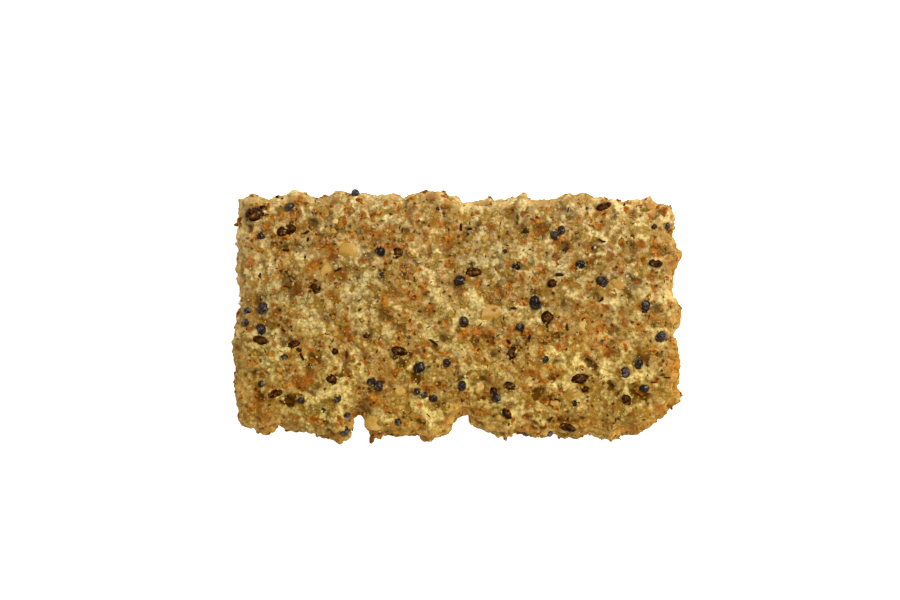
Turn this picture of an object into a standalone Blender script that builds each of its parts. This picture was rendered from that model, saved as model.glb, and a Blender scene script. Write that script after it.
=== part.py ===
"""A small seeded crispbread bar: one baked slab of grain dough, with poppy seeds, brown seeds,
bran flakes and bits of cracked grain baked into its faces and its broken edges.

The bar lies flat. X runs along its length, Y across its width, and Z is up from the face that it
rests on. Sizes are in metres.
"""

import math
import random

import bmesh
import bpy
import numpy as np
from mathutils import Matrix, Vector, noise

MM = 0.001
BAR_NAME = "bar"

# The slab
THICKNESS = 4.6 * MM  # from the rest face to the middle of the top's relief
REMESH_SIZE = 0.5 * MM
SLAB_TRIANGLES = 4800

# The top's relief: (distance between lumps, height) of each layer
TOP_LAYERS = ((7.5 * MM, 0.55 * MM), (3.0 * MM, 0.45 * MM), (1.5 * MM, 0.22 * MM))
SHOULDER_DROP = 0.9 * MM
SHOULDER_WIDTH = 0.8 * MM

# The underside: flat where it lay on the baking belt, with shallow pits
PIT_SPACING = 3.2 * MM
PIT_THRESHOLD = 0.18
PIT_DEPTH = 1.1 * MM
REST_PATCH = 3.0 * MM  # radius of the flat patch at the middle

# The broken edge
CRAG_SPACING = 1.7 * MM
CRAG_DEPTH = 0.45 * MM
CRAG_REACH = 1.6 * MM
EDGE_ROUNDING = 0.55 * MM

# Seeds and flakes
POPPY_SIZE = 1.15 * MM
POPPY_SPREAD = 0.12
BROWN_WIDTH = 0.68  # width and height as shares of a brown seed's length
BROWN_HEIGHT = 0.55
FLAKE_COUNT = 48
FLAKE_SPACING = 2.6 * MM
FLAKE_LENGTH = (1.3 * MM, 2.2 * MM)
FLAKE_THICKNESS = 0.42 * MM
SIDE_SEED_COUNT = 12

# The outline as it was broken from the sheet, in millimetres, in the order far edge, right end,
# near edge, left end. The far edge has low humps, and the near edge has two deep nicks.
FAR_EDGE = (
    (-24.5, 13.2), (-22.8, 13.3), (-20.1, 13.2), (-18.3, 14.1), (-16.4, 13.5), (-15.8, 13.1),
    (-14.5, 13.4), (-13.8, 13.9), (-11.7, 13.9), (-10.6, 13.9), (-9.5, 13.1), (-7.4, 13.8),
    (-5.9, 13.3), (-3.9, 13.9), (-2.2, 13.9), (0.2, 13.1), (0.5, 12.6), (1.2, 12.5), (3.2, 13.0),
    (5.8, 13.2), (7.6, 13.7), (8.9, 13.0), (11.4, 13.0), (12.4, 13.7), (15.8, 13.4), (19.9, 13.0),
    (21.9, 13.4), (22.2, 12.5), (22.9, 12.6), (24.2, 12.3),
)
RIGHT_END = (
    (24.5, 10.1), (24.1, 9.0), (25.1, 6.7), (24.3, 4.9), (24.1, 2.3), (25.3, 0.6), (24.3, -2.1),
    (24.8, -5.3), (24.5, -8.1), (24.7, -9.5), (23.8, -10.2), (23.0, -11.2), (22.0, -11.7),
    (20.4, -13.2),
)
NEAR_EDGE = (
    (18.5, -13.2), (17.1, -13.9), (14.6, -13.1), (12.6, -13.5), (11.2, -13.3), (8.9, -13.4),
    (6.5, -12.9), (6.1, -13.4), (5.2, -13.2), (3.4, -12.9), (1.6, -12.0), (1.4, -10.9),
    (0.0, -11.3), (-0.5, -12.1), (-1.0, -12.9), (-2.9, -14.1), (-4.7, -13.3), (-9.4, -13.3),
    (-10.2, -11.7), (-10.7, -11.1), (-11.2, -11.1), (-11.9, -13.4), (-13.1, -14.2), (-15.8, -13.0),
    (-18.1, -12.9), (-19.8, -12.2), (-21.4, -13.3), (-22.4, -12.6),
)
LEFT_END = (
    (-24.0, -11.9), (-24.3, -11.0), (-24.6, -8.3), (-24.6, -6.8), (-24.9, -4.3), (-24.7, -1.9),
    (-24.0, 0.9), (-24.2, 3.0), (-24.7, 5.2), (-24.4, 8.3), (-24.6, 10.0), (-24.2, 11.0),
)

# Poppy seeds on the top, in millimetres
POPPY_SEEDS = (
    (-18.6, 12.1), (-21.8, 8.5), (-11.5, 13.3), (-21.5, 0.5), (-23.3, 0.3), (-8.5, 7.0),
    (0.4, 3.6), (6.7, 5.3), (0.9, -0.8), (11.3, 8.9), (13.9, 5.5), (16.3, 3.5), (8.8, 1.2),
    (21.0, 0.7), (23.7, 9.9), (-23.5, -1.0), (-21.6, -1.9), (-19.1, -5.1), (-21.6, -8.0),
    (-17.0, -9.8), (-12.0, -11.4), (-12.6, -13.2), (-9.6, -7.9), (-8.7, -8.0), (-4.1, -6.2),
    (-1.0, -5.6), (0.6, -8.2), (-4.4, -8.9), (-3.5, -9.3), (-2.5, -9.6), (7.0, -1.7), (4.4, -9.5),
    (5.2, -2.0), (-6.5, -12.1), (9.8, -5.3), (18.6, -6.7), (20.2, -5.8), (20.7, -8.5),
    (22.7, -2.6), (13.1, -10.1), (14.3, -8.6),
)

# Brown seeds on the top: place and length in millimetres, and the way that the seed points
BROWN_SEEDS = (
    (-22.6, 11.0, 2.2, 15), (-19.7, 9.2, 1.4, 80), (-18.4, 9.4, 1.3, 40), (-15.6, 2.8, 1.9, 115),
    (-6.5, 6.8, 1.5, 30), (1.8, 4.6, 1.9, 0), (16.6, 12.3, 1.8, 30), (22.3, 5.8, 2.2, 8),
    (7.7, 9.2, 1.2, 70), (-21.8, -3.0, 1.7, -10), (-18.1, -3.5, 1.5, 25), (-20.0, -9.0, 1.7, 15),
    (-18.5, -10.3, 1.2, -20), (-13.7, -7.4, 1.3, -40), (-13.1, -9.6, 0.9, 0),
    (-13.5, -4.3, 1.2, 60), (-6.4, -4.3, 1.9, -12), (6.2, -4.5, 1.8, 60), (4.0, -8.7, 1.2, 90),
    (5.7, -8.2, 1.7, -8), (5.7, -11.4, 1.3, -50), (10.1, -0.4, 1.8, 10), (13.8, -7.3, 1.8, 5),
    (12.4, -12.7, 2.0, -15), (18.8, -9.4, 1.5, -70), (0.5, 9.7, 1.2, 20),
)

# Bits of cracked grain that stand out of the dough: place, length and width, and direction
GRAIN_BITS = (
    (-12.2, 6.8, 2.7, 2.0, -8), (3.6, 0.0, 2.5, 1.9, 10), (-9.2, -12.2, 2.3, 2.0, 75),
    (17.9, 3.1, 2.0, 1.4, -35), (18.7, -3.7, 1.9, 1.3, 20), (14.1, -0.8, 1.9, 1.2, 110),
    (11.1, -9.9, 2.1, 1.7, 0), (-14.6, 4.7, 1.8, 1.2, 60),
)


def outline():
    """The outline's points, anticlockwise, as an array in metres."""
    around = FAR_EDGE + RIGHT_END + NEAR_EDGE + LEFT_END
    return np.array(around[::-1]) * MM


def layer(x, y, spacing, start):
    """Smooth lumps from -1 to 1, about this far apart. Each start gives other lumps."""
    return noise.noise(Vector((x / spacing, y / spacing, start)))


def top_height(x, y):
    """Height of the top face over the rest face, away from the edge."""
    return THICKNESS + sum(
        height * layer(x, y, spacing, 11.3 * (i + 1))
        for i, (spacing, height) in enumerate(TOP_LAYERS)
    )


def underside_height(x, y):
    """The underside is flat at zero, apart from pits, and has none at its middle."""
    pit = max(0.0, layer(x, y, PIT_SPACING, 71.9) - PIT_THRESHOLD) * PIT_DEPTH
    return 0.0 if math.hypot(x, y) < REST_PATCH else pit


def from_edge(points, corners):
    """For each point: its distance from the outline, and the way out across the nearest edge."""
    steps = np.roll(corners, -1, axis=0) - corners
    sides = np.stack([steps[:, 1], -steps[:, 0]], axis=1)
    sides /= np.linalg.norm(sides, axis=1)[:, None]
    at_corners = sides + np.roll(sides, 1, axis=0)
    away = points[:, None, :] - corners[None, :, :]
    along = np.clip((away * steps).sum(axis=2) / (steps * steps).sum(axis=1), 0, 1)
    gaps = np.linalg.norm(away - along[:, :, None] * steps, axis=2)
    best = gaps.argmin(axis=1)
    rows = np.arange(len(points))
    share = along[rows, best][:, None]
    out = (1 - share) * at_corners[best] + share * np.roll(at_corners, -1, axis=0)[best]
    return gaps[rows, best], out / np.linalg.norm(out, axis=1)[:, None]


def clear_scene():
    for obj in list(bpy.data.objects):
        bpy.data.objects.remove(obj)


def new_material(name, colour, roughness):
    material = bpy.data.materials.new(name)
    material.use_nodes = True
    shader = material.node_tree.nodes["Principled BSDF"]
    shader.inputs["Base Color"].default_value = (*colour, 1.0)
    shader.inputs["Roughness"].default_value = roughness
    shader.inputs["Metallic"].default_value = 0.0
    return material


def evaluated_copy(obj):
    """A new mesh that holds obj as its modifiers leave it."""
    graph = bpy.context.evaluated_depsgraph_get()
    return bpy.data.meshes.new_from_object(obj.evaluated_get(graph))


def bake_modifiers(obj):
    """Replaces obj's mesh by what its modifiers make of it, and removes them."""
    mesh = evaluated_copy(obj)
    obj.modifiers.clear()
    obj.data = mesh
    return obj


def make_slab(collection):
    """The outline as a flat curve with thickness, made an even mesh."""
    curve = bpy.data.curves.new("outline", "CURVE")
    curve.dimensions = "2D"
    curve.fill_mode = "BOTH"
    curve.extrude = THICKNESS / 2
    corners = outline()
    spline = curve.splines.new("POLY")
    spline.points.add(len(corners) - 1)
    for point, (x, y) in zip(spline.points, corners):
        point.co = (x, y, 0.0, 1.0)
    spline.use_cyclic_u = True
    guide = bpy.data.objects.new("outline", curve)
    collection.objects.link(guide)

    mesh = evaluated_copy(guide)
    bpy.data.objects.remove(guide)
    mesh.transform(Matrix.Translation((0, 0, THICKNESS / 2)))
    slab = bpy.data.objects.new(BAR_NAME, mesh)
    collection.objects.link(slab)
    remesh = slab.modifiers.new("even mesh", "REMESH")
    remesh.mode = "VOXEL"
    remesh.voxel_size = REMESH_SIZE
    return bake_modifiers(slab)


def shape_slab(slab):
    """Moves the even mesh's points: relief on top, pits below, and crags round the edge."""
    places = np.empty(len(slab.data.vertices) * 3)
    slab.data.vertices.foreach_get("co", places)
    places = places.reshape(-1, 3)
    inside, outward = from_edge(places[:, :2], outline())
    for place, depth, out in zip(places, inside, outward):
        x, y, z = place
        level = min(max(z / THICKNESS, 0.0), 1.0)
        bulge = abs(2 * level - 1) ** 3
        near = math.exp(-depth / CRAG_REACH)
        spot = Vector((x, y, 1.5 * z)) / CRAG_SPACING
        crag = [noise.noise(spot + Vector((0, 0, start))) for start in (23.7, 57.3)]
        low = underside_height(x, y)
        top = top_height(x, y) - SHOULDER_DROP * math.exp(-depth / SHOULDER_WIDTH)
        place[:2] += near * (CRAG_DEPTH * np.array(crag) - EDGE_ROUNDING * bulge * out)
        place[2] = low + level * (top - low)
    slab.data.vertices.foreach_set("co", places.ravel())
    slab.data.update()


def thin_slab(slab):
    """Keeps the triangles where the relief needs them, then sets the rest face flat again."""
    slab.data.calc_loop_triangles()
    decimate = slab.modifiers.new("fewer faces", "DECIMATE")
    decimate.ratio = SLAB_TRIANGLES / len(slab.data.loop_triangles)
    decimate.use_collapse_triangulate = True
    bake_modifiers(slab)
    for vertex in slab.data.vertices:
        if vertex.co.z < 0.01 * MM:
            vertex.co.z = 0.0


def add_solid(collection, name, fill, place, turn, size):
    """One closed solid, made by fill in a unit size, then sized, turned and put in place."""
    mesh = bpy.data.meshes.new(name)
    shape = bmesh.new()
    fill(shape)
    bmesh.ops.transform(
        shape,
        matrix=Matrix.Translation(place) @ turn.to_4x4() @ Matrix.Diagonal((*size, 1.0)),
        verts=shape.verts,
    )
    shape.to_mesh(mesh)
    shape.free()
    obj = bpy.data.objects.new(name, mesh)
    collection.objects.link(obj)
    return obj


def seed_form(shape):
    bmesh.ops.create_uvsphere(shape, u_segments=7, v_segments=4, radius=0.5)


def flake_form(shape):
    """A plate with five uneven sides."""
    bmesh.ops.create_cone(
        shape, cap_ends=True, segments=5, radius1=0.5, radius2=0.38, depth=1.0
    )


def surface(slab, x, y):
    """The slab's height at this place, read from above. At the rim the nearest place inside counts."""
    start = Vector((x, y, 3 * THICKNESS))
    for _ in range(12):
        hit, place, normal, _ = slab.ray_cast(start, Vector((0, 0, -1)))
        if hit and place.z > 0.6 * THICKNESS:
            return place
        start.xy *= 0.99
    return place


def turned(heading, pitch=0.0, roll=0.0):
    """A rotation by pitch and roll, then by heading about Z, in degrees."""
    return (
        Matrix.Rotation(math.radians(heading), 3, "Z")
        @ Matrix.Rotation(math.radians(pitch), 3, "Y")
        @ Matrix.Rotation(math.radians(roll), 3, "X")
    )


def add_poppy_seeds(slab, collection, draw):
    for i, (x, y) in enumerate(POPPY_SEEDS):
        size = POPPY_SIZE * draw.uniform(1 - POPPY_SPREAD, 1 + POPPY_SPREAD)
        place = surface(slab, x * MM, y * MM) + Vector((0, 0, 0.12 * size))
        turn = turned(draw.uniform(0, 180), draw.uniform(-20, 20))
        add_solid(collection, f"poppy_{i}", seed_form, place, turn, (size, 0.88 * size, 0.85 * size))


def add_brown_seeds(slab, collection):
    for i, (x, y, length, heading) in enumerate(BROWN_SEEDS):
        length *= MM
        place = surface(slab, x * MM, y * MM) + Vector((0, 0, 0.06 * length))
        size = (length, BROWN_WIDTH * length, BROWN_HEIGHT * length)
        add_solid(collection, f"brown_{i}", seed_form, place, turned(heading), size)


def add_grain_bits(slab, collection):
    for i, (x, y, length, width, heading) in enumerate(GRAIN_BITS):
        place = surface(slab, x * MM, y * MM) - Vector((0, 0, 0.1 * MM))
        size = (length * MM, width * MM, 1.0 * MM)
        add_solid(collection, f"grain_{i}", flake_form, place, turned(heading, 3, -4), size)


def add_flakes(slab, collection, draw):
    """Bran flakes lying in the top, spread evenly and clear of the seeds and the edge."""
    taken = [Vector(seed[:2]) * MM for seed in POPPY_SEEDS + BROWN_SEEDS + GRAIN_BITS]
    corners = outline()
    low, high = corners.min(axis=0), corners.max(axis=0)
    made = 0
    while made < FLAKE_COUNT:
        spot = Vector((draw.uniform(low[0], high[0]), draw.uniform(low[1], high[1])))
        edge_gap, _ = from_edge(np.array([spot]), corners)
        in_box = abs(spot.x) < 23 * MM and abs(spot.y) < 12.2 * MM
        if not in_box or edge_gap[0] < 1.2 * MM:
            continue
        if any((spot - other).length < FLAKE_SPACING * 0.75 for other in taken):
            continue
        taken.append(spot)
        length = draw.uniform(*FLAKE_LENGTH)
        place = surface(slab, spot.x, spot.y) + Vector((0, 0, 0.05 * MM))
        turn = turned(draw.uniform(0, 360), draw.uniform(-14, 14), draw.uniform(-14, 14))
        size = (length, 0.7 * length, FLAKE_THICKNESS)
        add_solid(collection, f"flake_{made}", flake_form, place, turn, size)
        made += 1


def add_side_seeds(slab, collection, draw):
    """Poppy seeds that stick out of the broken edge, at even turns round the bar."""
    for i in range(SIDE_SEED_COUNT):
        angle = math.tau * (i + draw.uniform(0.2, 0.8)) / SIDE_SEED_COUNT
        along = Vector((24 * MM * math.cos(angle), 0, 0))
        height = draw.uniform(0.35, 0.6) * THICKNESS
        start = Vector((30 * MM * math.cos(angle) * 1.4, 30 * MM * math.sin(angle), height))
        aim = Vector((0.75 * along.x, 0, height)) - start
        _, place, _, _ = slab.ray_cast(start, aim.normalized())
        size = POPPY_SIZE * draw.uniform(1 - POPPY_SPREAD, 1 + POPPY_SPREAD)
        place = place + 0.15 * size * aim.normalized()
        turn = turned(draw.uniform(0, 180), draw.uniform(-40, 40))
        add_solid(collection, f"side_{i}", seed_form, place, turn, (size, 0.9 * size, 0.9 * size))


def fuse(slab, toppings):
    """Joins every topping to the slab with one union, and removes the toppings."""
    union = slab.modifiers.new("fused toppings", "BOOLEAN")
    union.operation = "UNION"
    union.operand_type = "COLLECTION"
    union.collection = toppings
    union.solver = "EXACT"
    bake_modifiers(slab)
    for obj in list(toppings.objects):
        bpy.data.objects.remove(obj)
    bpy.data.collections.remove(toppings)


def main():
    clear_scene()
    scene = bpy.context.scene
    bar = bpy.data.collections.new("seeded bar")
    toppings = bpy.data.collections.new("toppings")
    scene.collection.children.link(bar)
    scene.collection.children.link(toppings)

    slab = make_slab(bar)
    shape_slab(slab)
    thin_slab(slab)

    draw = random.Random(7)
    add_poppy_seeds(slab, toppings, draw)
    add_brown_seeds(slab, toppings)
    add_grain_bits(slab, toppings)
    add_flakes(slab, toppings, draw)
    add_side_seeds(slab, toppings, draw)
    fuse(slab, toppings)

    slab.data.materials.clear()
    slab.data.materials.append(new_material("baked dough", (0.48, 0.31, 0.11), 0.6))
    slab.data.shade_smooth()
    slab.data.set_sharp_from_angle(angle=math.radians(50))


main()
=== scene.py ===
import math

import bmesh
import bpy
import numpy as np
from mathutils import Matrix, Vector, noise


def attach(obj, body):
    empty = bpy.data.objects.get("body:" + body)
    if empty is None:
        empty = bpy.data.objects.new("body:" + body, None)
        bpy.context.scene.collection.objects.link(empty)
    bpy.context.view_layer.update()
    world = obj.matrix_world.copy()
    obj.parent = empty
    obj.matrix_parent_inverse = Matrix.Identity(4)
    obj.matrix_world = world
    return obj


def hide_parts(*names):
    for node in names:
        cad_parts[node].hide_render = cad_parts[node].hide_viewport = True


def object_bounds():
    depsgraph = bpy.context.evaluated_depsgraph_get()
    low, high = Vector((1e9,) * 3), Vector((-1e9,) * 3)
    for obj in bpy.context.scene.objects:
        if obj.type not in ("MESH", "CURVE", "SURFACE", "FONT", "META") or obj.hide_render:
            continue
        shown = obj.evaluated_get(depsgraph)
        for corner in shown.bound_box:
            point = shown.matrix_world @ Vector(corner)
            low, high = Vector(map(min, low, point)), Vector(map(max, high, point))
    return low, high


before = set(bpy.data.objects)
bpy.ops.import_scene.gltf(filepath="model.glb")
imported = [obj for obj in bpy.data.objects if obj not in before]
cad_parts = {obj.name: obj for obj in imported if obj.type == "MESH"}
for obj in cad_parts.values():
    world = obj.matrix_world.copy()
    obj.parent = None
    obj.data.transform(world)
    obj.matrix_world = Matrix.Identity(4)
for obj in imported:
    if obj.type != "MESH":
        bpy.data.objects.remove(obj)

cad_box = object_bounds()
scene = bpy.context.scene


# The slab of dough. One sheet of grain batter, baked and broken into bars: lumpy and open on top,
# ragged round its broken edges, and flat below, where it lay on the baking belt.

MM = 0.001
THICKNESS = 4.6 * MM
TOP_LAYERS = ((7.5 * MM, 0.55 * MM), (3.0 * MM, 0.45 * MM), (1.5 * MM, 0.22 * MM))
SHOULDER_DROP = 0.9 * MM
SHOULDER_WIDTH = 0.8 * MM
PIT_SPACING = 3.2 * MM
PIT_THRESHOLD = 0.18
PIT_DEPTH = 1.1 * MM
CRAG_SPACING = 1.7 * MM
CRAG_DEPTH = 0.45 * MM
CRAG_REACH = 1.6 * MM
EDGE_ROUNDING = 0.55 * MM
RIM_SWELL = 0.1 * MM
RIM_WIDTH = 1.2 * MM
SLAB_MESH_SIZE = 0.175 * MM
UNDERSIDE_KEPT = 0.74  # share of all the slab's triangles left once its underside is thinned
UNDERSIDE_TOP = 0.35 * MM  # points of the slab lower than this are thinned,
UNDERSIDE_RIM = 0.3  # where their rim value is lower than this
BELT_GAP = 0.03 * MM  # the least height of the slab's points

FAR_EDGE = (
    (-24.5, 13.2), (-22.8, 13.3), (-20.1, 13.2), (-18.3, 14.1), (-16.4, 13.5), (-15.8, 13.1),
    (-14.5, 13.4), (-13.8, 13.9), (-11.7, 13.9), (-10.6, 13.9), (-9.5, 13.1), (-7.4, 13.8),
    (-5.9, 13.3), (-3.9, 13.9), (-2.2, 13.9), (0.2, 13.1), (0.5, 12.6), (1.2, 12.5), (3.2, 13.0),
    (5.8, 13.2), (7.6, 13.7), (8.9, 13.0), (11.4, 13.0), (12.4, 13.7), (15.8, 13.4), (19.9, 13.0),
    (21.9, 13.4), (22.2, 12.5), (22.9, 12.6), (24.2, 12.3),
)
RIGHT_END = (
    (24.5, 10.1), (24.1, 9.0), (25.1, 6.7), (24.3, 4.9), (24.1, 2.3), (25.3, 0.6), (24.3, -2.1),
    (24.8, -5.3), (24.5, -8.1), (24.7, -9.5), (23.8, -10.2), (23.0, -11.2), (22.0, -11.7),
    (20.4, -13.2),
)
NEAR_EDGE = (
    (18.5, -13.2), (17.1, -13.9), (14.6, -13.1), (12.6, -13.5), (11.2, -13.3), (8.9, -13.4),
    (6.5, -12.9), (6.1, -13.4), (5.2, -13.2), (3.4, -12.9), (1.6, -12.0), (1.4, -10.9),
    (0.0, -11.3), (-0.5, -12.1), (-1.0, -12.9), (-2.9, -14.1), (-4.7, -13.3), (-9.4, -13.3),
    (-10.2, -11.7), (-10.7, -11.1), (-11.2, -11.1), (-11.9, -13.4), (-13.1, -14.2), (-15.8, -13.0),
    (-18.1, -12.9), (-19.8, -12.2), (-21.4, -13.3), (-22.4, -12.6),
)
LEFT_END = (
    (-24.0, -11.9), (-24.3, -11.0), (-24.6, -8.3), (-24.6, -6.8), (-24.9, -4.3), (-24.7, -1.9),
    (-24.0, 0.9), (-24.2, 3.0), (-24.7, 5.2), (-24.4, 8.3), (-24.6, 10.0), (-24.2, 11.0),
)
OUTLINE = np.array((FAR_EDGE + RIGHT_END + NEAR_EDGE + LEFT_END)[::-1]) * MM
SHADES = (
    # where the dough's colour is made darker or paler: x, y and reach in millimetres, and by how
    # much
    (3.4, 5.8, 2.8, -0.30), (-16.3, -12.5, 2.6, -0.28), (-20.2, 1.7, 2.6, -0.26),
    (5.3, -8.8, 2.4, -0.22), (-21.5, -3.6, 2.6, -0.24), (-16.3, 0.7, 2.6, -0.22),
    (-9.5, 3.6, 2.6, -0.22), (21.0, 11.8, 2.8, 0.26), (0.5, -11.2, 1.8, 0.30),
    (15.3, -2.8, 3.0, 0.22), (-2.4, 9.2, 3.0, 0.18), (9.3, -7.7, 2.6, 0.20),
    (11.2, 5.0, 2.4, -0.18),
)


def layer(x, y, spacing, start):
    """Smooth lumps from -1 to 1, about this far apart."""
    return noise.noise(Vector((x / spacing, y / spacing, start)))


def top_height(x, y):
    return THICKNESS + sum(
        height * layer(x, y, spacing, 11.3 * (i + 1))
        for i, (spacing, height) in enumerate(TOP_LAYERS)
    )


def underside_height(x, y):
    return max(0.0, layer(x, y, PIT_SPACING, 71.9) - PIT_THRESHOLD) * PIT_DEPTH


def from_edge(points, corners):
    """For each point: its distance from the outline, and the way out across the nearest edge."""
    steps = np.roll(corners, -1, axis=0) - corners
    sides = np.stack([steps[:, 1], -steps[:, 0]], axis=1)
    sides /= np.linalg.norm(sides, axis=1)[:, None]
    at_corners = sides + np.roll(sides, 1, axis=0)
    away = points[:, None, :] - corners[None, :, :]
    along = np.clip((away * steps).sum(axis=2) / (steps * steps).sum(axis=1), 0, 1)
    gaps = np.linalg.norm(away - along[:, :, None] * steps, axis=2)
    best = gaps.argmin(axis=1)
    rows = np.arange(len(points))
    share = along[rows, best][:, None]
    out = (1 - share) * at_corners[best] + share * np.roll(at_corners, -1, axis=0)[best]
    return gaps[rows, best], out / np.linalg.norm(out, axis=1)[:, None]


def made_plain(obj):
    """Replaces obj's mesh by what its modifiers make of it, and removes them."""
    graph = bpy.context.evaluated_depsgraph_get()
    mesh = bpy.data.meshes.new_from_object(obj.evaluated_get(graph))
    obj.modifiers.clear()
    obj.data = mesh
    return obj


def points_of(mesh):
    places = np.empty(len(mesh.vertices) * 3)
    mesh.vertices.foreach_get("co", places)
    return places.reshape(-1, 3)


def slab_of_dough():
    """The outline as a flat curve with thickness, made an even mesh."""
    curve = bpy.data.curves.new("outline", "CURVE")
    curve.dimensions = "2D"
    curve.fill_mode = "BOTH"
    curve.extrude = THICKNESS / 2
    spline = curve.splines.new("POLY")
    spline.points.add(len(OUTLINE) - 1)
    for point, (x, y) in zip(spline.points, OUTLINE):
        point.co = (x, y, 0.0, 1.0)
    spline.use_cyclic_u = True
    guide = bpy.data.objects.new("outline", curve)
    scene.collection.objects.link(guide)
    graph = bpy.context.evaluated_depsgraph_get()
    mesh = bpy.data.meshes.new_from_object(guide.evaluated_get(graph))
    bpy.data.objects.remove(guide)
    mesh.transform(Matrix.Translation((0, 0, THICKNESS / 2)))
    slab = bpy.data.objects.new("crumb", mesh)
    scene.collection.objects.link(slab)
    remesh = slab.modifiers.new("even mesh", "REMESH")
    remesh.mode = "VOXEL"
    remesh.voxel_size = SLAB_MESH_SIZE
    return made_plain(slab)


def shape_slab(slab):
    """Moves the even mesh's points: relief on top, pits below, and crags round the edge."""
    places = points_of(slab.data)
    inside, outward = from_edge(places[:, :2], OUTLINE)
    for place, depth, out in zip(places, inside, outward):
        x, y, z = place
        level = min(max(z / THICKNESS, 0.0), 1.0)
        bulge = abs(2 * level - 1) ** 3
        near = math.exp(-depth / CRAG_REACH)
        low = underside_height(x, y)
        top = top_height(x, y) - SHOULDER_DROP * math.exp(-depth / SHOULDER_WIDTH)
        if near > 0.01:
            spot = Vector((x, y, 1.5 * z)) / CRAG_SPACING
            crag = [noise.noise(spot + Vector((0, 0, start))) for start in (23.7, 57.3)]
            swell = RIM_SWELL - EDGE_ROUNDING * bulge
            place[:2] += near * (CRAG_DEPTH * np.array(crag) + swell * out)
        place[2] = low + level * (top - low)
    slab.data.vertices.foreach_set("co", places.ravel())
    slab.data.update()
    rim = np.clip(1 - inside / RIM_WIDTH, 0, 1)
    shade = np.zeros(len(places))
    for x, y, reach, strength in SHADES:
        gap = np.hypot(places[:, 0] - x * MM, places[:, 1] - y * MM) / (reach * MM)
        shade += strength * np.exp(-gap**2)
    for name, values in (("rim", rim), ("shade", shade)):
        attribute = slab.data.attributes.new(name, "FLOAT", "POINT")
        attribute.data.foreach_set("value", values)


class Wire:
    """An output of a node, in a material or in geometry nodes. Arithmetic on it adds Math nodes."""

    def __init__(self, tree, made=None, output=0):
        self.tree = tree
        self.made = made
        self.socket = made.outputs[output] if made else None

    def node(self, kind, settings=None, inputs=None, output=0):
        """A new node: its settings first, then the values or wires of its sockets."""
        made = self.tree.nodes.new(kind)
        for name, value in (settings or {}).items():
            setattr(made, name, value)
        for name, value in (inputs or {}).items():
            socket = made.inputs[name]
            if isinstance(value, Wire):
                self.tree.links.new(value.socket, socket)
            elif socket.type == "RGBA":
                socket.default_value = (*value, 1.0)
            else:
                socket.default_value = value
        return Wire(self.tree, made, output)

    def out(self, output):
        """Another output of the same node."""
        return Wire(self.tree, self.made, output)

    def math(self, operation, first, second=0.0):
        return self.node("ShaderNodeMath", {"operation": operation}, {0: first, 1: second})

    def __add__(self, other):
        return self.math("ADD", self, other)

    def __radd__(self, other):
        return self.math("ADD", other, self)

    def __sub__(self, other):
        return self.math("SUBTRACT", self, other)

    def __rsub__(self, other):
        return self.math("SUBTRACT", other, self)

    def __mul__(self, other):
        return self.math("MULTIPLY", self, other)

    def __rmul__(self, other):
        return self.math("MULTIPLY", other, self)

    def ramp(self, low, high, start=0.0, end=1.0):
        """A smooth step from start to end as this value goes from low to high."""
        return self.node(
            "ShaderNodeMapRange",
            {"interpolation_type": "SMOOTHSTEP"},
            {"Value": self, "From Min": low, "From Max": high, "To Min": start, "To Max": end},
        )

    def mix(self, without, coloured):
        """Colour without where this value is 0, and coloured where it is 1."""
        return self.node(
            "ShaderNodeMix", {"data_type": "RGBA"}, {0: self, 6: without, 7: coloured}, output=2
        )

    def scaled(self, factor):
        """This colour or vector times a factor."""
        return self.node(
            "ShaderNodeVectorMath", {"operation": "SCALE"}, {"Vector": self, "Scale": factor}
        )

    def bent(self, spots, reach):
        """The spots, moved by this colour of a noise times reach."""
        return self.node(
            "ShaderNodeVectorMath",
            {"operation": "MULTIPLY_ADD"},
            {0: self, 1: (reach, reach, reach), 2: spots},
        )

    def axes(self):
        """This vector's X, Y and Z, as outputs of those names."""
        return self.node("ShaderNodeSeparateXYZ", {}, {"Vector": self})

    def object_spots(self):
        return self.node("ShaderNodeTexCoord", output="Object")

    def attribute(self, name):
        return self.node("ShaderNodeAttribute", {"attribute_name": name}, output="Fac")

    def bump(self, height, strength, distance):
        return self.node(
            "ShaderNodeBump", {}, {"Strength": strength, "Distance": distance, "Height": height}
        )

    def noise(self, spots, size, detail=2.0, roughness=0.5):
        """Noise from 0 to 1 with features of about this size in metres."""
        return self.node(
            "ShaderNodeTexNoise",
            {},
            {"Vector": spots, "Scale": 1 / size, "Detail": detail, "Roughness": roughness},
        )

    def cells(self, spots, size, feature="F1"):
        """Cells of about this size: output 0 is the distance, 1 a colour for each cell."""
        return self.node(
            "ShaderNodeTexVoronoi", {"feature": feature}, {"Vector": spots, "Scale": 1 / size}
        )

    def shifted(self, spots, offset, stretch=(1, 1, 1)):
        """The spots moved, so that a second noise on them differs from the first."""
        return self.node(
            "ShaderNodeMapping", {}, {"Vector": spots, "Location": offset, "Scale": stretch}
        )


def new_tree(name, sizes):
    """A geometry tree with a mesh input and these named sizes as inputs."""
    tree = bpy.data.node_groups.new(name, "GeometryNodeTree")
    tree.is_modifier = True
    tree.interface.new_socket("Geometry", in_out="INPUT", socket_type="NodeSocketGeometry")
    tree.interface.new_socket("Geometry", in_out="OUTPUT", socket_type="NodeSocketGeometry")
    for title, kind in sizes.items():
        tree.interface.new_socket(title, in_out="INPUT", socket_type=kind)
    given = Wire(tree, tree.nodes.new("NodeGroupInput"))
    return tree, given


def finish_tree(given, geometry):
    """Ends a tree with its instances realised and its material set."""
    real = given.node("GeometryNodeRealizeInstances", {}, {"Geometry": geometry})
    dressed = given.node(
        "GeometryNodeSetMaterial", {}, {"Geometry": real, "Material": given.out("Material")}
    )
    end = given.tree.nodes.new("NodeGroupOutput")
    given.tree.links.new(dressed.socket, end.inputs[0])


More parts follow.
